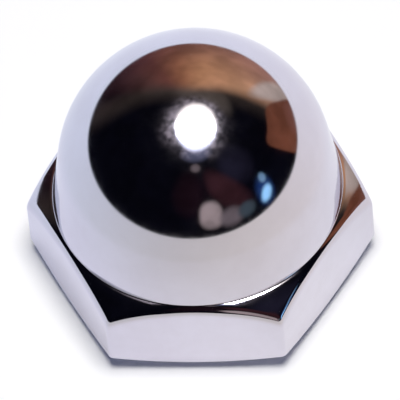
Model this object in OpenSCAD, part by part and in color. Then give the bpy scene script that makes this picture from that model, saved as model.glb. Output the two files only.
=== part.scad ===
// Cap nut: a chrome-plated hexagon nut closed by a polished dome.
// The origin is the centre of the bearing face, and +Z runs up the thread's axis to the top of the dome.
// One flat of the hexagon faces -Y.

/* [Hexagon] */
// Width across the flats, which is the spanner size
across_flats = 10; // [8:0.1:14]
// Height from the bearing face to the foot of the collar
hex_height = 3.18; // [2.6:0.02:5]
// How far the turned blank trims each of the six upright edges
corner_trim = 0.03; // [0.02:0.01:0.3]
// Slope of the top chamfer, below the horizontal
top_chamfer_angle = 30; // [20:1:35]
// Slope of the bottom chamfer, above the horizontal
bottom_chamfer_angle = 20; // [15:1:35]
// Distance from a flat in to the rim of the bearing face
bearing_inset = 0.8; // [0.2:0.05:0.8]

/* [Dome] */
// Distance from a flat in to the foot of the collar
collar_inset = 0.19; // [0.1:0.01:0.4]
// Distance from a flat in to where the dome would be widest
dome_inset = 0.44; // [0.4:0.02:1]
// Height from the foot of the collar to the centre of the dome
collar_height = 1.26; // [0.5:0.02:3]
// Radius of the blend between the collar and the chamfer
foot_radius = 0.12; // [0.05:0.01:0.3]

/* [Thread hole] */
// Diameter of the hole at the crests of the thread
bore_d = 5; // [4:0.05:5.2]
// Solid metal left between the drill point and the top of the dome
crown_wall = 1.5; // [0.8:0.05:2.5]
// Included angle of the drill point at the end of the hole
drill_point_angle = 118; // [90:1:150]
// Widening of the radius at the countersunk mouth
mouth_step = 0.75; // [0.3:0.05:0.9]
// Included angle of the countersunk mouth
mouth_angle = 120; // [90:1:140]

/* [Hidden] */
$fn = 96;

// How far a cutting shape passes the surface that it cuts
overrun = 0.5;
// The crown's section starts inside the hexagon, clear of both chamfers
crown_base_z = hex_height / 2;

flat_r = across_flats / 2;
corner_r = flat_r / cos(30);
bearing_r = flat_r - bearing_inset;
collar_r = flat_r - collar_inset;
dome_r = flat_r - dome_inset;
blank_r = corner_r - corner_trim;

dome_z = hex_height + collar_height;
top_z = dome_z + dome_r;

// Two surfaces that run into each other overlap by this much, so that they always meet in one clean edge
overlap = 0.00005;
// The collar narrows upwards: its wall runs from its foot to where it touches the dome
collar_draft = acos((dome_r - overlap) / norm([collar_r, collar_height])) - atan(collar_height / collar_r);
collar_out = [cos(collar_draft), sin(collar_draft)];
collar_top = [0, dome_z] + (dome_r - overlap) * collar_out;

bore_r = bore_d / 2;
mouth_r = bore_r + mouth_step;
drill_point_z = top_z - crown_wall;
bore_end_z = drill_point_z - bore_r / tan(drill_point_angle / 2);
mouth_depth = mouth_step / tan(mouth_angle / 2);
mouth_overrun_r = mouth_r + overrun * tan(mouth_angle / 2);

// The foot's blend touches the wall of the collar and the sloping chamfer
chamfer_out = [sin(top_chamfer_angle), cos(top_chamfer_angle)];
collar_foot = [collar_r, hex_height];
foot_centre = collar_foot + foot_radius * (collar_out + chamfer_out) / (1 + collar_out * chamfer_out);
foot_reach = 1.2 * foot_radius;

// Half section of the turned blank: its two cones chamfer the hexagon, so that each flat ends in curved edges
module blank_section() {
    polygon([
        [0, 0],
        [bearing_r, 0],
        [blank_r, (blank_r - bearing_r) * tan(bottom_chamfer_angle)],
        [blank_r, hex_height - (blank_r - collar_r) * tan(top_chamfer_angle)],
        [collar_r, hex_height],
        [0, hex_height]
    ]);
}

module hexagon() {
    intersection() {
        translate([0, 0, -overrun])
            linear_extrude(height = hex_height + 2 * overrun)
                circle(r = corner_r, $fn = 6);
        rotate_extrude() blank_section();
    }
}

// Half section of the crown: collar, dome and the blend at the foot
module crown_section() {
    polygon([
        [0, crown_base_z],
        [collar_r, crown_base_z],
        collar_foot,
        collar_top,
        [0, collar_top[1]]
    ]);
    intersection() {
        translate([0, dome_z]) circle(r = dome_r);
        translate([0, dome_z]) square([dome_r + overrun, dome_r + overrun]);
    }
    difference() {
        polygon([
            foot_centre,
            foot_centre - foot_reach * collar_out,
            collar_foot - foot_radius * chamfer_out,
            foot_centre - foot_reach * chamfer_out
        ]);
        translate(foot_centre) circle(r = foot_radius + overlap);
    }
}

// Half section of the blind hole: countersunk mouth, straight bore and drill point
module hole_section() {
    polygon([
        [0, -overrun],
        [mouth_overrun_r, -overrun],
        [bore_r, mouth_depth],
        [bore_r, bore_end_z],
        [0, drill_point_z]
    ]);
}

module cap_nut() {
    color([0.78, 0.78, 0.82])
        difference() {
            union() {
                hexagon();
                rotate_extrude() crown_section();
            }
            rotate_extrude() hole_section();
        }
}

cap_nut();
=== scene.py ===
"""A chrome-plated cap nut with its thread, on a white table under one soft lamp."""
import math

import bpy
import numpy as np
from mathutils import Matrix, Vector


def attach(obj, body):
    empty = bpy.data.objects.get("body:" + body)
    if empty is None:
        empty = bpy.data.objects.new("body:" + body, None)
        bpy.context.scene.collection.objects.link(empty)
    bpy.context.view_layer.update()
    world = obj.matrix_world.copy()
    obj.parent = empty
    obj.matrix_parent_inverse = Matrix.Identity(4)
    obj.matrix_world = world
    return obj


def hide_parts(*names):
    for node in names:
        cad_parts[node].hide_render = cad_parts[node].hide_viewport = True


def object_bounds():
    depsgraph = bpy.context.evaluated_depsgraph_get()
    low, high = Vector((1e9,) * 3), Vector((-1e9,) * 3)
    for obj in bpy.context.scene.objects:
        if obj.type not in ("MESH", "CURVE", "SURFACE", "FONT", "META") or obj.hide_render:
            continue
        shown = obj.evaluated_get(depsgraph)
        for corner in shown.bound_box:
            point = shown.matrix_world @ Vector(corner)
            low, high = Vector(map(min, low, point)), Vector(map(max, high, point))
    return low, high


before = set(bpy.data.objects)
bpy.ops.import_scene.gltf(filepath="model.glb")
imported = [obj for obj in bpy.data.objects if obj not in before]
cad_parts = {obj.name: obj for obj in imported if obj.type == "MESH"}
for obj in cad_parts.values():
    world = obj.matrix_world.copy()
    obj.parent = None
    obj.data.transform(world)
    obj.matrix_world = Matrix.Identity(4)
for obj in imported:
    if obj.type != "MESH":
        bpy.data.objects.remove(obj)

MM = 0.001
cad_low, cad_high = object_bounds()

# Sizes of the nut in millimetres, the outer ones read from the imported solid
FLAT_R = cad_high.y / MM
CORNER_R = cad_high.x / MM
TOP_Z = cad_high.z / MM
DOME_INSET = 0.44
COLLAR_INSET = 0.19
BEARING_INSET = 0.8
DOME_R = FLAT_R - DOME_INSET
COLLAR_R = FLAT_R - COLLAR_INSET
BEARING_R = FLAT_R - BEARING_INSET
HEX_HEIGHT = 3.23
FOOT_RADIUS = 0.06
LOW_ANGLE = 20.0
LOW_SLOPE = math.tan(math.radians(LOW_ANGLE))
# The angle from the middle of a face to its corner
HALF_FACE = math.radians(30)

# The top chamfer has a narrow lip at its foot and a crown that steepens outwards to each rounded edge
TOP_ANGLE = 32.0
LIP_ANGLE = 12.0
LIP_START = math.sin(math.radians(LIP_ANGLE))
CROWN_START = math.sin(math.radians(TOP_ANGLE))
LIP_R = 0.2
CROWN_R = 3.0
FACE_EDGE_R = 0.48
CORNER_EDGE_R = 0.75
# From this steepness on, the chamfer's edge turns to face the way that the flat does
FACE_TURN_START = 0.7
LOW_EDGE = 0.03
RIM_EDGE = 0.03

# The hole: countersunk mouth, M6 x 1 thread cut in the plain bore, drill point
BORE_R = 2.5
MOUTH_R = 3.25
MOUTH_HALF_ANGLE = math.radians(60)
MOUTH_SLOPE = math.tan(MOUTH_HALF_ANGLE)
DRILL_POINT_Z = 7.5
DRILL_ANGLE = 118.0
DRILL_SLOPE = math.tan(math.radians(DRILL_ANGLE / 2))
BORE_END_Z = DRILL_POINT_Z - BORE_R / DRILL_SLOPE
PITCH = 1.0
THREAD_R = 3.0
CREST_HALF = 0.15
ROOT_HALF = 0.0625
FADE_LENGTH = 1.2
THREAD_START_Z = 0.1

# How finely each stretch is divided
FACE_STEPS = 40
CORNER_STEPS = 12
DOME_STEPS = 52
EDGE_STEPS = 6
FOOT_ROWS = 12
CROWN_STEPS = 18
FACE_ROWS = 5
LOW_ROWS = 4
ROWS_PER_TURN = 20
THREAD_ROWS = int(math.ceil((BORE_END_Z / PITCH + 1) * ROWS_PER_TURN)) + 1
# A row of the thread nearer to an end of it than this share of a step merges with that end
MERGE_SHARE = 0.35
DRILL_RINGS = (0.75, 0.5, 0.25)

# Camera, fitted to the photograph
CAMERA_AZIMUTH = 6.4194
CAMERA_ELEVATION = 53.4864
CAMERA_ROLL = -5.7232
CAMERA_DISTANCE = 300.0
CAMERA_TARGET_Z = 3.5
CAMERA_CLIP = (0.01, 10.0)
FRAME_PIXELS = 400
FOCAL_PIXELS = 9074.6
AIM_RIGHT = 0.000128
AIM_UP = -0.001916
SENSOR_WIDTH = 36.0


def way(angle):
    """A step of length 1 in this direction, the angle in radians."""
    return np.array([math.cos(angle), math.sin(angle)])


def section_out(angle):
    """The outward normal, as (radius, height), of a surface whose normal tilts up by the angle."""
    return way(math.radians(angle))


def unit(vectors):
    return vectors / np.linalg.norm(vectors, axis=1, keepdims=True)


def hexagon_columns():
    """Radius, polar angle and outward angle of each upright column round the hexagon."""
    slant = math.cos(HALF_FACE)
    corner_round = (FLAT_R / slant - CORNER_R) / (1 / slant - 1)
    half_face = (FLAT_R - corner_round) * math.tan(HALF_FACE)
    corner_centre = (FLAT_R - corner_round) / slant
    points, outward = [], []
    for side in range(6):
        face_angle = math.radians(-90 + 60 * side)
        for along in np.linspace(-half_face, half_face, FACE_STEPS + 1):
            points.append(FLAT_R * way(face_angle) + along * way(face_angle + math.pi / 2))
            outward.append(face_angle)
        for turn in np.linspace(0, 2 * HALF_FACE, CORNER_STEPS + 1)[1:-1]:
            points.append(corner_centre * way(face_angle + HALF_FACE) + corner_round * way(face_angle + turn))
            outward.append(face_angle + turn)
    points = np.array(points)
    polar = np.unwrap(np.arctan2(points[:, 1], points[:, 0]))
    return np.hypot(points[:, 0], points[:, 1]), polar, np.array(outward)


class Skin:
    """Rows of points down the nut, each row one ring of columns, with the true normal at each point."""

    def __init__(self, polar, outward):
        self.round_way = np.stack([np.cos(polar), np.sin(polar), np.zeros_like(polar)], 1)
        self.flat_way = np.stack([np.cos(outward), np.sin(outward), np.zeros_like(polar)], 1)
        self.points, self.normals = [], []

    def row(self, radius, height, normal):
        """Adds one ring. The radius and the height are single numbers or one for each column."""
        radius, height = (np.broadcast_to(v, len(self.round_way)) for v in (radius, height))
        self.points.append(self.round_way * radius[:, None] + np.outer(height, [0, 0, 1]))
        self.normals.append(unit(normal))

    def round_normal(self, angle):
        """The normal of a turned surface, tilted up from level by the angle in degrees."""
        level, up = section_out(angle)
        return self.round_way * level + np.array([0, 0, up])

    def chamfer_normal(self, steep, level):
        """The normal on the top chamfer, which turns from the round to the flat faces as it steepens."""
        turned = np.clip((steep - FACE_TURN_START) / (1 - FACE_TURN_START), 0, 1)[:, None]
        outward = unit(self.round_way * (1 - turned) + self.flat_way * turned)
        return outward * steep[:, None] + np.outer(level, [0, 0, 1])

    def rounded_edge(self, before, corner, after, normal_before, normal_after):
        """Adds rows round an edge, from a point before it to one after it, each (radius, height)."""
        for share in np.linspace(0, 1, EDGE_STEPS + 1):
            weights = ((1 - share) ** 2, 2 * share * (1 - share), share ** 2)
            radius = sum(w * p[0] for w, p in zip(weights, (before, corner, after)))
            height = sum(w * p[1] for w, p in zip(weights, (before, corner, after)))
            self.row(radius, height, normal_before * (1 - share) + normal_after * share)


# Section of the outside, as (radius, height): dome centre, collar foot, draft and hollow round
DOME_CENTRE = np.array([0.0, TOP_Z - DOME_R])
COLLAR_FOOT = np.array([COLLAR_R, HEX_HEIGHT])
FOOT_BELOW = DOME_CENTRE[1] - HEX_HEIGHT
COLLAR_DRAFT = math.degrees(math.acos(DOME_R / math.hypot(COLLAR_R, FOOT_BELOW))
                            - math.atan2(FOOT_BELOW, COLLAR_R))
WALL_OUT = section_out(COLLAR_DRAFT)
CHAMFER_OUT = section_out(90 - TOP_ANGLE)
FOOT_CENTRE = COLLAR_FOOT + FOOT_RADIUS * (WALL_OUT + CHAMFER_OUT) / (1 + WALL_OUT @ CHAMFER_OUT)


def top_edge_radius(hexagon_r):
    """The rounding of the chamfer's outer edge, which grows from the middle of a face to the corners."""
    share = (hexagon_r - FLAT_R) / (CORNER_R - FLAT_R)
    return FACE_EDGE_R + (CORNER_EDGE_R - FACE_EDGE_R) * share


def foot_landing(hexagon_r):
    """How steep the chamfer is, as the sine of its slope, where the hollow round at the foot ends."""
    edge_r = top_edge_radius(hexagon_r)
    on_edge = (FOOT_CENTRE[0] - hexagon_r + edge_r) / (edge_r + FOOT_RADIUS)
    return np.maximum(LIP_START, on_edge)


def chamfer_radius(steep, hexagon_r):
    """Where the top chamfer is as steep as this: on its lip, its crown or the edge of a face."""
    start = FOOT_CENTRE[0] - FOOT_RADIUS * LIP_START
    on_lip = start + (steep - LIP_START) * LIP_R
    on_crown = start + (CROWN_START - LIP_START) * LIP_R + (steep - CROWN_START) * CROWN_R
    on_edge = hexagon_r - top_edge_radius(hexagon_r) * (1 - steep)
    return np.minimum(np.maximum(on_lip, on_crown), on_edge)


def add_dome(skin):
    """The round dome from just below its pole, down to where the collar leaves it."""
    for angle in np.linspace(90, COLLAR_DRAFT, DOME_STEPS + 1)[1:]:
        radius, height = DOME_CENTRE + DOME_R * section_out(angle)
        skin.row(radius, height, skin.round_normal(angle))


def add_foot(skin, landing):
    """The small hollow round where the collar stands on the chamfer."""
    first, last = math.radians(COLLAR_DRAFT), np.arccos(landing)
    for share in np.linspace(0, 1, FOOT_ROWS):
        tilt = first + share * (last - first)
        radius = FOOT_CENTRE[0] - FOOT_RADIUS * np.cos(tilt)
        height = FOOT_CENTRE[1] - FOOT_RADIUS * np.sin(tilt)
        normal = skin.round_way * np.cos(tilt)[:, None] + np.outer(np.sin(tilt), [0, 0, 1])
        skin.row(radius, height, normal)


def add_top_chamfer(skin, hexagon_r, landing):
    """The crowned top chamfer, rounded into the six faces. Returns the height at which they start."""
    steep, level = landing, np.sqrt(1 - landing ** 2)
    radius = FOOT_CENTRE[0] - FOOT_RADIUS * steep
    height = FOOT_CENTRE[1] - FOOT_RADIUS * level
    first = np.arcsin(landing)
    for share in np.linspace(0, 1, CROWN_STEPS + 1)[1:]:
        slope = first + share * (np.pi / 2 - first)
        new_steep, new_level = np.sin(slope), np.cos(slope)
        new_radius = chamfer_radius(new_steep, hexagon_r)
        height = height - (new_radius - radius) * (level - new_level) / (new_steep - steep)
        steep, level, radius = new_steep, new_level, new_radius
        skin.row(radius, height, skin.chamfer_normal(steep, level))
    return height


def add_faces(skin, hexagon_r, top_z):
    """The six upright faces and the bottom chamfer, with the edge between them softened."""
    level, drop = LOW_EDGE * section_out(LOW_ANGLE)
    low_z = (hexagon_r - BEARING_R) * LOW_SLOPE
    low_normal = skin.round_normal(LOW_ANGLE - 90)
    for share in np.linspace(0, 1, FACE_ROWS + 1)[1:-1]:
        skin.row(hexagon_r, top_z + share * (low_z + LOW_EDGE - top_z), skin.flat_way)
    skin.rounded_edge((hexagon_r, low_z + LOW_EDGE), (hexagon_r, low_z),
                      (hexagon_r - level, low_z - drop), skin.flat_way, low_normal)
    for share in np.linspace(0, 1, LOW_ROWS + 1)[1:-1]:
        radius = hexagon_r - level + share * (BEARING_R + RIM_EDGE - hexagon_r + level)
        skin.row(radius, (radius - BEARING_R) * LOW_SLOPE, low_normal)


def add_bearing_face(skin):
    """The flat ring that the nut stands on, with its two rims softened, and the mouth's top lip."""
    down = np.tile([0.0, 0.0, -1.0], (len(skin.round_way), 1))
    low_normal = skin.round_normal(LOW_ANGLE - 90)
    skin.rounded_edge((BEARING_R + RIM_EDGE, RIM_EDGE * LOW_SLOPE), (BEARING_R, 0.0),
                      (BEARING_R - RIM_EDGE, 0.0), low_normal, down)
    mouth_rise = RIM_EDGE / MOUTH_SLOPE
    inward, under = way(MOUTH_HALF_ANGLE)
    mouth_normal = -skin.round_way * inward - np.array([0, 0, under])
    skin.rounded_edge((MOUTH_R + RIM_EDGE, 0.0), (MOUTH_R, 0.0),
                      (MOUTH_R - RIM_EDGE, mouth_rise), down, mouth_normal)


class Mesh:
    """Collects vertices and faces. A vertex with no true normal takes the average of its faces."""

    def __init__(self):
        self.points, self.normals, self.faces = [], [], []

    def add(self, points, normals=None):
        """Adds vertices and returns their numbers."""
        first = len(self.points)
        self.points.extend(points)
        self.normals.extend([None] * len(points) if normals is None else list(normals))
        return list(range(first, first + len(points)))

    def strip(self, upper, lower):
        """Joins two closed rings with one ring of faces."""
        count = len(upper)
        for i in range(count):
            j = (i + 1) % count
            self.face(upper[i], lower[i], lower[j], upper[j])

    def face(self, *corners):
        """Adds a face unless its corners have merged into a line."""
        kept = [c for i, c in enumerate(corners) if c != corners[i - 1]]
        if len(set(kept)) >= 3:
            self.faces.append(kept)


def thread_radius(phase, height):
    """Radius of the hole at a place in the thread, where phase 0 is the middle of a crest."""
    away = np.abs(phase - np.round(phase)) * PITCH
    flank = np.clip((away - CREST_HALF) / (PITCH / 2 - ROOT_HALF - CREST_HALF), 0, 1)
    fade = np.clip((BORE_END_Z - height) / FADE_LENGTH, 0, 1)
    cut = BORE_R + (THREAD_R - BORE_R) * flank * fade
    return np.maximum(cut, MOUTH_R - height * MOUTH_SLOPE)


def thread_vertices(mesh, turns, ways, start, end):
    """The vertex at each column and row of the helix. A row past either end takes that end's ring."""
    nearest = PITCH / ROWS_PER_TURN * MERGE_SHARE
    numbers = {}
    for column, turn in enumerate(turns):
        for row in range(-ROWS_PER_TURN, THREAD_ROWS):
            phase = row / ROWS_PER_TURN
            height = (turn + phase) * PITCH
            if height < THREAD_START_Z + nearest:
                numbers[column, row] = start[column]
            elif height > BORE_END_Z - nearest:
                numbers[column, row] = end[column]
            else:
                x, y = ways[column] * float(thread_radius(phase, height))
                numbers[column, row] = mesh.add([(x, y, height)])[0]
    return numbers


def add_thread(mesh, polar, ring_above):
    """The threaded wall as rows that climb the helix, from a ring near the mouth to the drill point."""
    turns = (polar - polar[0]) / (2 * math.pi)
    ways = np.stack([np.cos(polar), np.sin(polar)], 1)
    start_r = MOUTH_R - THREAD_START_Z * MOUTH_SLOPE
    start = mesh.add([(x * start_r, y * start_r, THREAD_START_Z) for x, y in ways])
    mesh.strip(ring_above, start)
    end = mesh.add([(x * BORE_R, y * BORE_R, BORE_END_Z) for x, y in ways])
    numbers = thread_vertices(mesh, turns, ways, start, end)
    last = len(turns) - 1
    for row in range(-ROWS_PER_TURN, THREAD_ROWS - ROWS_PER_TURN - 1):
        for column in range(last):
            mesh.face(numbers[column, row], numbers[column, row + 1],
                      numbers[column + 1, row + 1], numbers[column + 1, row])
        over = row + ROWS_PER_TURN
        mesh.face(numbers[last, row], numbers[last, row + 1], numbers[0, over + 1], numbers[0, over])
    return end


def close_drill_point(mesh, polar, ring):
    """The cone that the drill left at the blind end."""
    for share in DRILL_RINGS:
        radius = BORE_R * share
        height = DRILL_POINT_Z - radius / DRILL_SLOPE
        inner = mesh.add([(math.cos(a) * radius, math.sin(a) * radius, height) for a in polar])
        mesh.strip(ring, inner)
        ring = inner
    tip = mesh.add([(0, 0, DRILL_POINT_Z)])[0]
    for i, number in enumerate(ring):
        mesh.face(number, tip, ring[(i + 1) % len(ring)])


def mesh_object(name, mesh, outer_faces):
    """Makes the Blender object, in metres, with smooth shading from the true normals."""
    data = bpy.data.meshes.new(name)
    data.from_pydata([tuple(np.array(p) * MM) for p in mesh.points], [], mesh.faces)
    data.validate()
    data.polygons.foreach_set("use_smooth", [True] * len(data.polygons))
    data.polygons.foreach_set("material_index", [int(i >= outer_faces) for i in range(len(data.polygons))])
    data.update()
    normals = [v.normal if n is None else Vector(n) for v, n in zip(data.vertices, mesh.normals)]
    data.normals_split_custom_set_from_vertices(normals)
    piece = bpy.data.objects.new(name, data)
    bpy.context.scene.collection.objects.link(piece)
    return piece


def outside_skin(hexagon_r, polar, outward):
    """Every row of the outside, from the top of the dome to the lip of the hole."""
    skin = Skin(polar, outward)
    landing = foot_landing(hexagon_r)
    add_dome(skin)
    add_foot(skin, landing)
    top_z = add_top_chamfer(skin, hexagon_r, landing)
    add_faces(skin, hexagon_r, top_z)
    add_bearing_face(skin)
    return skin


def build_nut():
    """The whole nut as one closed mesh, with a second material down the hole."""
    hexagon_r, polar, outward = hexagon_columns()
    skin = outside_skin(hexagon_r, polar, outward)
    mesh = Mesh()
    rings = [mesh.add(p, n) for p, n in zip(skin.points, skin.normals)]
    pole = mesh.add([(0, 0, TOP_Z)], [(0, 0, 1)])[0]
    for i, number in enumerate(rings[0]):
        mesh.face(pole, number, rings[0][(i + 1) % len(rings[0])])
    for upper, lower in zip(rings, rings[1:]):
        mesh.strip(upper, lower)
    outer_faces = len(mesh.faces)
    end = add_thread(mesh, polar, rings[-1])
    close_drill_point(mesh, polar, end)
    return mesh_object("cap_nut_chrome", mesh, outer_faces)


class Nodes:
    """Short calls that add nodes to one node tree."""

    def __init__(self, owner):
        owner.use_nodes = True
        self.tree = owner.node_tree
        self.tree.nodes.clear()

    def new(self, kind, **settings):
        node = self.tree.nodes.new(kind)
        for name, value in settings.items():
            setattr(node, name, value)
        return node

    def link(self, source, target):
        """Feeds a socket from another socket, or sets it to a plain value."""
        if isinstance(source, bpy.types.NodeSocket):
            self.tree.links.new(source, target)
        else:
            target.default_value = source

    def math(self, operation, *inputs):
        node = self.new("ShaderNodeMath", operation=operation)
        for value, socket in zip(inputs, node.inputs):
            self.link(value, socket)
        return node.outputs[0]

    def degrees(self, operation, *inputs):
        """An angle in degrees, from a sum that gives it in radians."""
        return self.math("DEGREES", self.math(operation, *inputs))

    def ramp(self, value, low, high, to_low=0.0, to_high=1.0, smooth=True):
        """Takes a value from one range to another, held at both ends."""
        kind = "SMOOTHSTEP" if smooth else "LINEAR"
        node = self.new("ShaderNodeMapRange", interpolation_type=kind)
        for source, socket in zip((value, low, high, to_low, to_high), node.inputs):
            self.link(source, socket)
        return node.outputs[0]

    def mix(self, factor, first, second, blend="MIX"):
        """A colour between two, each a socket or a red, green, blue triple."""
        node = self.new("ShaderNodeMix", data_type="RGBA", blend_type=blend)
        self.link(factor, node.inputs[0])
        for colour, socket in ((first, node.inputs[6]), (second, node.inputs[7])):
            self.link((*colour, 1) if isinstance(colour, tuple) else colour, socket)
        return node.outputs[2]

    def vector(self, operation, *inputs, scale=None):
        """A vector worked out from others, each a socket or a triple."""
        node = self.new("ShaderNodeVectorMath", operation=operation)
        for value, socket in zip(inputs, node.inputs):
            self.link(value, socket)
        if scale is not None:
            self.link(scale, node.inputs["Scale"])
        return node.outputs["Value" if operation == "DOT_PRODUCT" else "Vector"]

    def parts(self, vector):
        """The x, y and z of a vector."""
        node = self.new("ShaderNodeSeparateXYZ")
        self.link(vector, node.inputs[0])
        return node.outputs

    def colours(self, value, stops):
        """A colour for each value, read between stops of (value, colour)."""
        low, high = stops[0][0], stops[-1][0]
        node = self.new("ShaderNodeValToRGB")
        points = node.color_ramp.elements
        while len(points) < len(stops):
            points.new(0.5)
        for point, (at, colour) in zip(points, stops):
            point.position = (at - low) / (high - low)
            point.color = (*colour, 1)
        self.link(self.ramp(value, low, high, smooth=False), node.inputs[0])
        return node.outputs[0]

    def noise(self, vector, scale, detail=2.0, roughness=0.5, output="Fac"):
        node = self.new("ShaderNodeTexNoise")
        self.link(vector, node.inputs["Vector"])
        node.inputs["Scale"].default_value = scale
        node.inputs["Detail"].default_value = detail
        node.inputs["Roughness"].default_value = roughness
        return node.outputs[output]

    def bump(self, height, strength, distance):
        node = self.new("ShaderNodeBump")
        node.inputs["Strength"].default_value = strength
        node.inputs["Distance"].default_value = distance
        self.link(height, node.inputs["Height"])
        return node.outputs["Normal"]

    def metal(self, colour, roughness, normal):
        """A metal shader, joined to the material's output."""
        shader = self.new("ShaderNodeBsdfPrincipled")
        shader.inputs["Metallic"].default_value = 1.0
        self.link(colour, shader.inputs["Base Color"])
        self.link(roughness, shader.inputs["Roughness"])
        self.link(normal, shader.inputs["Normal"])
        self.link(shader.outputs[0], self.new("ShaderNodeOutputMaterial").inputs["Surface"])
        return shader


# The plating: tints, colour at a glancing angle, roughness, and its unevenness, with scales per metre
CHROME_TINTS = ((0.62, 0.605, 0.71), (0.66, 0.65, 0.765))
CHROME_GLANCING = (0.95, 0.95, 0.96, 1)
CHROME_ROUGHNESS = (0.07, 0.10)
HAZE_SCALE = 450.0
HAZE_RANGE = (0.45, 0.95)
MOTTLE_SCALE = 2600.0
MOTTLE_RANGE = (0.35, 0.75)
MOTTLE_SHARE = 0.4
WAVE_SCALE = 300.0
PIT_SCALE = 9000.0
PIT_SHARE = 0.01
WAVE_STRENGTH = 0.25
WAVE_DEPTH = 0.00002
# The hole, where the plating is thin
BORE_TINTS = ((0.36, 0.34, 0.35), (0.50, 0.49, 0.53))
BORE_ROUGHNESS = (0.22, 0.38)
BORE_MOTTLE_SCALE = 1500.0
BORE_MOTTLE_RANGE = (0.3, 0.7)
MARK_SCALE = 3000.0
MARK_DISTORTION = 2.0
MARK_STRENGTH = 0.2
MARK_DEPTH = 0.00001


def chrome():
    """Bright plating, a little cooler than grey, with faint haze, pits and polishing waves."""
    material = bpy.data.materials.new("chrome_plate")
    nodes = Nodes(material)
    place = nodes.new("ShaderNodeTexCoord").outputs["Object"]
    haze = nodes.noise(place, HAZE_SCALE, 3.0)
    mottle = nodes.noise(place, MOTTLE_SCALE, 4.0, 0.6)
    uneven = nodes.math("ADD", haze, nodes.math("MULTIPLY", mottle, MOTTLE_SHARE))
    tint = nodes.ramp(uneven, *HAZE_RANGE)
    roughness = nodes.ramp(mottle, *MOTTLE_RANGE, *CHROME_ROUGHNESS)
    pits = nodes.math("MULTIPLY", nodes.noise(place, PIT_SCALE, 2.0), PIT_SHARE)
    height = nodes.math("ADD", nodes.noise(place, WAVE_SCALE, 1.0), pits)
    shader = nodes.metal(nodes.mix(tint, *CHROME_TINTS), roughness,
                         nodes.bump(height, WAVE_STRENGTH, WAVE_DEPTH))
    shader.inputs["Specular Tint"].default_value = CHROME_GLANCING
    return material


def bore_metal():
    """The thinly plated hole: greyer, with cutting marks round the axis."""
    material = bpy.data.materials.new("thinly_plated_bore")
    nodes = Nodes(material)
    place = nodes.new("ShaderNodeTexCoord").outputs["Object"]
    mottle = nodes.noise(place, BORE_MOTTLE_SCALE, 3.0)
    marks = nodes.new("ShaderNodeTexWave", bands_direction="Z")
    nodes.link(place, marks.inputs["Vector"])
    marks.inputs["Scale"].default_value = MARK_SCALE
    marks.inputs["Distortion"].default_value = MARK_DISTORTION
    nodes.metal(nodes.mix(mottle, *BORE_TINTS), nodes.ramp(mottle, *BORE_MOTTLE_RANGE, *BORE_ROUGHNESS),
                nodes.bump(marks.outputs["Fac"], MARK_STRENGTH, MARK_DEPTH))
    return material


nut = build_nut()
nut.data.materials.append(chrome())
nut.data.materials.append(bore_metal())
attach(nut, "root")
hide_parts("cap_nut")

# The table, in metres: its own white, what is added for the camera, and how far it lies under the nut
TABLE_WHITE = (0.98, 0.982, 0.99)
TABLE_GLOW = (0.0, 0.01, 0.025)
FLOOR_DROP = 0.0001
FLOOR_STEPS = 96
# Where the table ends in the chrome: degrees above level, its slopes along X and Y, and its softness
TABLE_EDGE = (-3.6, -0.3, 6.0)
TABLE_EDGE_SOFT = 1.2
# The dome shows that edge from this radius and height, which gives the edge's true distance
EDGE_SEEN_FROM = (0.0042, 0.0062)
FURTHEST_EDGE = 0.15
# Its colour in the chrome, far and near, with painted shade in it: dimmer and warmer in front far off, dimmer
# and bluer to the left. Each is the middle, and what is added to the right and to the back
TABLE_FAR_PAINTED_SHADE = ((0.868, 0.872, 0.864), (0.08, 0.035, -0.015), (0.10, 0.13, 0.19))
TABLE_NEAR_PAINTED_SHADE = ((0.90, 0.91, 0.94), (0.04, 0.03, -0.015), (-0.05, -0.03, 0.015))
TABLE_NEAR_REACH = (0.006, 0.014)

# The lamp that lights the table, in degrees, and the light that the room gives its shadow
LAMP_SPREAD = 31.0
LAMP_TILT = 5.5
LAMP_TOWARDS = -50.0
LAMP_POWER = 3.15
LAMP_COLOUR = (1.0, 0.98, 0.945)
SHADE_COLOUR = (0.0, 0.005, 0.05)
# The lamp's own shape in the chrome, taller than wide: centre and half size as sines, and its edge
LAMP_CENTRE = (0.062, -0.058)
LAMP_HALF = (0.272, 0.338)
LAMP_EDGE = (1.25, 0.85)
# Its colours, and the stretch along it in which the cool one turns into the warm one
LAMP_COOL = (1.5, 1.6, 1.9)
LAMP_WARM = (1.9, 1.75, 1.5)
LAMP_TURN = (-0.5, 0.5)
# Between these heights the shape ends, so that it doesn't show again straight below
LAMP_ABOVE = (0.1, 0.0, 0.0, 9.0)
# The painted glow round the lamp, which the chrome shows as a sheen round its highlight: degrees from its
# middle, colour, and the range of its speckle and patches
GLOW_REACH = (36.0, 12.0)
GLOW_COLOUR = (0.38, 0.33, 0.34)
GLOW_SPECKLE = (0.38, 0.66, 0.2, 2.0)
GLOW_PATCHES = (0.38, 0.64, 0.35, 1.7)

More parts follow.
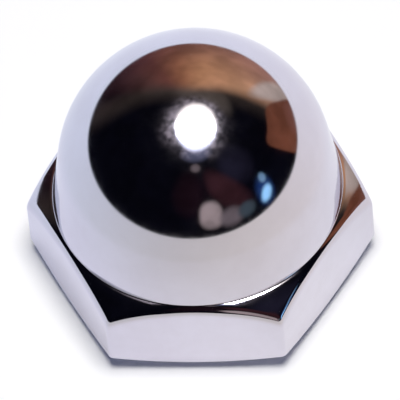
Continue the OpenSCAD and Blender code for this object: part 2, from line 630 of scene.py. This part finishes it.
# What the chrome shows over the table, in degrees: centre, half size, lean, power, softness, colour
ROOM_CARDS = {
    "haze right of the lamp": ((66, 60), (40, 7), 0.0, 2, 0.95, (0.11, 0.09, 0.07)),
    "haze over the lens": ((-80, 63), (24, 6), 0.0, 2, 0.95, (0.10, 0.11, 0.17)),
    "rim of the board": ((88, 12), (57, 52), 0.0, 2, 0.9, (0.10, 0.075, 0.055)),
    "board": ((89, 10), (58, 47.5), 0.0, 2, 0.3, None),
    "pale post": ((44, 14), (7, 19), -0.1, 2, 0.7, (0.56, 0.45, 0.36)),
    "brown box": ((21, 11), (17, 17), -0.4, 5, 0.3, (0.19, 0.065, 0.034)),
    "red top of the box": ((30, 3), (9, 6), 0.0, 2, 0.9, (0.26, 0.10, 0.065)),
    "navy curtain": ((-38, 42), (18, 16), 0.0, 2, 0.95, (0.013, 0.012, 0.022)),
    "blue surround": ((-28, 7), (7, 11), 0.0, 2, 0.9, (0.01, 0.035, 0.14)),
    "blue window": ((-28, 4.5), (5, 5.5), 0.3, 2, 0.8, (0.42, 0.85, 1.2)),
    "blue glint": ((-25, 17), (3, 4), 0.0, 2, 0.8, (0.20, 0.36, 0.50)),
    "red shade": ((-58, 26), (13, 20), -0.5, 2, 0.8, (0.042, 0.015, 0.018)),
    "red chair": ((-92, 30), (14, 18), 0.0, 2, 0.95, (0.012, 0.005, 0.008)),
    "pale cloth": ((-75, 10), (9, 12), 0.0, 2.5, 0.6, (0.38, 0.305, 0.28)),
    "grey cloth": ((-60, 4), (9, 8), 0.0, 2, 0.8, (0.16, 0.13, 0.13)),
    "teal cloth": ((-47, 4), (7, 6), 0.0, 2, 0.9, (0.05, 0.07, 0.08)),
    "grey lens": ((-84, 51.5), (6, 3.2), 0.0, 2, 0.9, (0.20, 0.16, 0.155)),
}
ROOM_DARK = (0.0022, 0.0022, 0.0048)
# The board has no one colour: it has one at each angle round, times a tint at each of two heights
BOARD_COLOURS = (
    (48, (0.55, 0.29, 0.16)), (62, (0.50, 0.25, 0.135)), (84, (0.42, 0.20, 0.10)), (101, (0.25, 0.10, 0.053)),
    (114, (0.124, 0.045, 0.034)), (126, (0.07, 0.03, 0.026)), (142, (0.012, 0.006, 0.008)),
)
BOARD_HEIGHTS = (0.0, 42.0)
BOARD_LOW_TINT = (0.74, 0.72, 0.95)
BOARD_HIGH_TINT = (1.32, 1.34, 1.25)
# How much the shapes in the room are bent, how finely, and how uneven their light is
ROOM_BEND = 0.014
ROOM_BEND_SCALE = 7.0
ROOM_MOTTLE = (0.35, 0.68, 0.8, 1.2)
ROOM_MOTTLE_SCALE = 3.2
ROOM_SPECKLE_SCALE = 12.0
ROOM_PATCH_SCALE = 3.6


def lamp_direction():
    """From the nut towards the middle of the lamp."""
    tilt, towards = math.radians(LAMP_TILT), math.radians(LAMP_TOWARDS)
    return Vector((math.sin(tilt) * math.cos(towards), math.sin(tilt) * math.sin(towards), math.cos(tilt)))


def table_colour_with_painted_shade(nodes, x, y, colours):
    """The table's colour in the chrome with its painted shade, which changes slowly round the nut."""
    middle, to_right, to_back = colours
    sideways = nodes.vector("SCALE", to_right, scale=x)
    backwards = nodes.vector("SCALE", to_back, scale=y)
    return nodes.vector("ADD", nodes.vector("ADD", sideways, backwards), middle)


def add_cards(nodes, direction):
    """The dark room with its soft cards, bent a little. A card with no colour has the board's."""
    bend = nodes.noise(direction, ROOM_BEND_SCALE, 3.0, output="Color")
    shift = nodes.vector("SUBTRACT", bend, (0.5, 0.5, 0.5))
    bent = nodes.vector("ADD", direction, nodes.vector("SCALE", shift, scale=ROOM_BEND))
    x, y, z = nodes.parts(nodes.vector("NORMALIZE", bent))
    elevation = nodes.degrees("ARCSINE", z)
    azimuth = nodes.degrees("ARCTAN2", y, x)
    board = nodes.mix(nodes.ramp(elevation, *BOARD_HEIGHTS), BOARD_LOW_TINT, BOARD_HIGH_TINT)
    board = nodes.mix(1.0, nodes.colours(azimuth, BOARD_COLOURS), board, "MULTIPLY")
    colour = ROOM_DARK
    for (centre_az, centre_el), (half_az, half_el), lean, power, soft, card in ROOM_CARDS.values():
        above = nodes.math("SUBTRACT", elevation, float(centre_el))
        middle = nodes.math("ADD", nodes.math("MULTIPLY", above, lean), float(centre_az))
        across = nodes.math("DIVIDE", nodes.math("SUBTRACT", azimuth, middle), float(half_az))
        up = nodes.math("DIVIDE", above, float(half_el))
        far = nodes.math("ADD", nodes.math("POWER", nodes.math("ABSOLUTE", across), float(power)),
                         nodes.math("POWER", nodes.math("ABSOLUTE", up), float(power)))
        colour = nodes.mix(nodes.ramp(far, 1 + soft, 1 - soft), colour, card or board)
    mottle = nodes.ramp(nodes.noise(direction, ROOM_MOTTLE_SCALE, 2.0), *ROOM_MOTTLE)
    return nodes.vector("SCALE", colour, scale=mottle), x, y


def glow_share(nodes, direction):
    """How strong the painted glow round the lamp is, speckled and patchy, which the chrome shows as a sheen
    round its highlight.
    """
    off_lamp = nodes.degrees("ARCCOSINE", nodes.vector("DOT_PRODUCT", direction, lamp_direction()))
    near_lamp = nodes.ramp(off_lamp, *GLOW_REACH)
    speckle = nodes.ramp(nodes.noise(direction, ROOM_SPECKLE_SCALE, 3.0, 0.7), *GLOW_SPECKLE)
    patches = nodes.ramp(nodes.noise(direction, ROOM_PATCH_SCALE, 1.0), *GLOW_PATCHES)
    return nodes.math("MULTIPLY", nodes.math("MULTIPLY", near_lamp, near_lamp),
                      nodes.math("MULTIPLY", speckle, patches))


def with_lamp(nodes, colour, bent_x, bent_y, z):
    """Lays the lamp's own shape over the room."""
    across = nodes.math("DIVIDE", nodes.math("SUBTRACT", bent_x, LAMP_CENTRE[0]), LAMP_HALF[0])
    along = nodes.math("DIVIDE", nodes.math("SUBTRACT", bent_y, LAMP_CENTRE[1]), LAMP_HALF[1])
    far = nodes.math("ADD", nodes.math("MULTIPLY", across, across), nodes.math("MULTIPLY", along, along))
    far = nodes.math("ADD", far, nodes.ramp(z, *LAMP_ABOVE))
    lamp = nodes.mix(nodes.ramp(along, *LAMP_TURN), LAMP_COOL, LAMP_WARM)
    return nodes.mix(nodes.ramp(far, *LAMP_EDGE), colour, lamp)


def with_table(nodes, colour, x, y, z):
    """Lays the far part of the table, with its painted shade, over the room, below the table's edge."""
    level, along_x, along_y = TABLE_EDGE
    sway = nodes.math("ADD", nodes.math("MULTIPLY", x, along_x), nodes.math("MULTIPLY", y, along_y))
    over_edge = nodes.math("SUBTRACT", nodes.degrees("ARCSINE", z), nodes.math("ADD", sway, level))
    above = nodes.ramp(over_edge, -TABLE_EDGE_SOFT, TABLE_EDGE_SOFT)
    return nodes.mix(above, table_colour_with_painted_shade(nodes, x, y, TABLE_FAR_PAINTED_SHADE), colour)


def add_world():
    """White for the camera, and for the chrome a dark room with a few soft cards in it."""
    world = bpy.data.worlds.new("room")
    bpy.context.scene.world = world
    nodes = Nodes(world)
    direction = nodes.new("ShaderNodeTexCoord").outputs["Generated"]
    x, y, z = nodes.parts(direction)
    colour, bent_x, bent_y = add_cards(nodes, direction)
    # Painted glow round the lamp, a sheen round the highlight in the chrome
    colour = nodes.mix(glow_share(nodes, direction), colour, GLOW_COLOUR, "ADD")
    colour = with_lamp(nodes, colour, bent_x, bent_y, z)
    colour = with_table(nodes, colour, x, y, z)
    path = nodes.new("ShaderNodeLightPath").outputs
    colour = nodes.mix(path["Is Diffuse Ray"], colour, SHADE_COLOUR)
    colour = nodes.mix(path["Is Camera Ray"], colour, (1.0, 1.0, 1.0))
    background = nodes.new("ShaderNodeBackground")
    nodes.link(colour, background.inputs["Color"])
    nodes.link(background.outputs[0], nodes.new("ShaderNodeOutputWorld").inputs["Surface"])


def white_table():
    """White for the camera, and in the chrome a white with painted shade that changes slowly round the nut,
    with the nut's shadow on both.
    """
    material = bpy.data.materials.new("white_table")
    nodes = Nodes(material)
    place = nodes.new("ShaderNodeTexCoord").outputs["Object"]
    x, y, _ = nodes.parts(nodes.vector("NORMALIZE", place))
    distance = nodes.math("SQRT", nodes.vector("DOT_PRODUCT", place, place))
    # Painted shade seen only in the chrome: dimmer and warmer in front far off, dimmer and bluer to the left
    shown = nodes.mix(nodes.ramp(distance, *TABLE_NEAR_REACH), table_colour_with_painted_shade(nodes, x, y, TABLE_NEAR_PAINTED_SHADE),
                      table_colour_with_painted_shade(nodes, x, y, TABLE_FAR_PAINTED_SHADE))
    path = nodes.new("ShaderNodeLightPath").outputs
    in_metal = nodes.math("MAXIMUM", path["Is Glossy Ray"], path["Is Transmission Ray"])
    shader = nodes.new("ShaderNodeBsdfDiffuse")
    nodes.link(nodes.mix(in_metal, TABLE_WHITE, shown), shader.inputs["Color"])
    glow = nodes.new("ShaderNodeEmission")
    glow.inputs["Color"].default_value = (*TABLE_GLOW, 1)
    nodes.link(path["Is Camera Ray"], glow.inputs["Strength"])
    both = nodes.new("ShaderNodeAddShader")
    nodes.link(shader.outputs[0], both.inputs[0])
    nodes.link(glow.outputs[0], both.inputs[1])
    nodes.link(both.outputs[0], nodes.new("ShaderNodeOutputMaterial").inputs["Surface"])
    return material


def table_radius(angle):
    """How far the table reaches in this direction, from how far below level the dome shows its edge."""
    level, along_x, along_y = TABLE_EDGE
    drop = -math.radians(level + along_x * math.cos(angle) + along_y * math.sin(angle))
    radius, height = EDGE_SEEN_FROM
    return min(radius + height / math.tan(drop), FURTHEST_EDGE) if drop > 0 else FURTHEST_EDGE


def add_floor():
    """A white table top just under the nut."""
    data = bpy.data.meshes.new("floor")
    rim = [2 * math.pi * i / FLOOR_STEPS for i in range(FLOOR_STEPS)]
    data.from_pydata([(table_radius(a) * math.cos(a), table_radius(a) * math.sin(a), 0) for a in rim],
                     [], [tuple(range(FLOOR_STEPS))])
    floor = bpy.data.objects.new("floor", data)
    floor.location.z = -FLOOR_DROP
    bpy.context.scene.collection.objects.link(floor)
    data.materials.append(white_table())


def add_lamp():
    """One soft lamp overhead, a little to the right."""
    light = bpy.data.lights.new("overhead", "SUN")
    light.energy = LAMP_POWER
    light.color = LAMP_COLOUR
    light.angle = math.radians(LAMP_SPREAD)
    lamp = bpy.data.objects.new("overhead", light)
    lamp.rotation_mode = "QUATERNION"
    lamp.rotation_quaternion = lamp_direction().to_track_quat("Z", "Y")
    bpy.context.scene.collection.objects.link(lamp)


def photo_view():
    """The way back to the camera, and the turn that aims and rolls it as the photograph is."""
    azimuth, elevation, roll = map(math.radians, (CAMERA_AZIMUTH, CAMERA_ELEVATION, CAMERA_ROLL))
    back = Vector((math.sin(azimuth) * math.cos(elevation),
                   -math.cos(azimuth) * math.cos(elevation), math.sin(elevation)))
    right = Vector((math.cos(azimuth), math.sin(azimuth), 0))
    up = back.cross(right)
    look = (-back + right * AIM_RIGHT + up * AIM_UP).normalized()
    level = look.cross(up).normalized()
    upright = level.cross(look)
    image_right = level * math.cos(roll) + upright * math.sin(roll)
    image_up = upright * math.cos(roll) - level * math.sin(roll)
    return back, Matrix((image_right, image_up, -look)).transposed().to_4x4()


def add_camera():
    """The photograph's camera."""
    back, turn = photo_view()
    data = bpy.data.cameras.new("camera")
    data.sensor_width = SENSOR_WIDTH
    data.lens = FOCAL_PIXELS / FRAME_PIXELS * SENSOR_WIDTH
    data.clip_start, data.clip_end = CAMERA_CLIP
    camera = bpy.data.objects.new("camera", data)
    place = Vector((0, 0, CAMERA_TARGET_Z * MM)) + back * (CAMERA_DISTANCE * MM)
    camera.matrix_world = Matrix.Translation(place) @ turn
    bpy.context.scene.collection.objects.link(camera)
    bpy.context.scene.camera = camera


add_world()
add_floor()
add_lamp()
add_camera()
bpy.context.scene.view_settings.view_transform = "Standard"
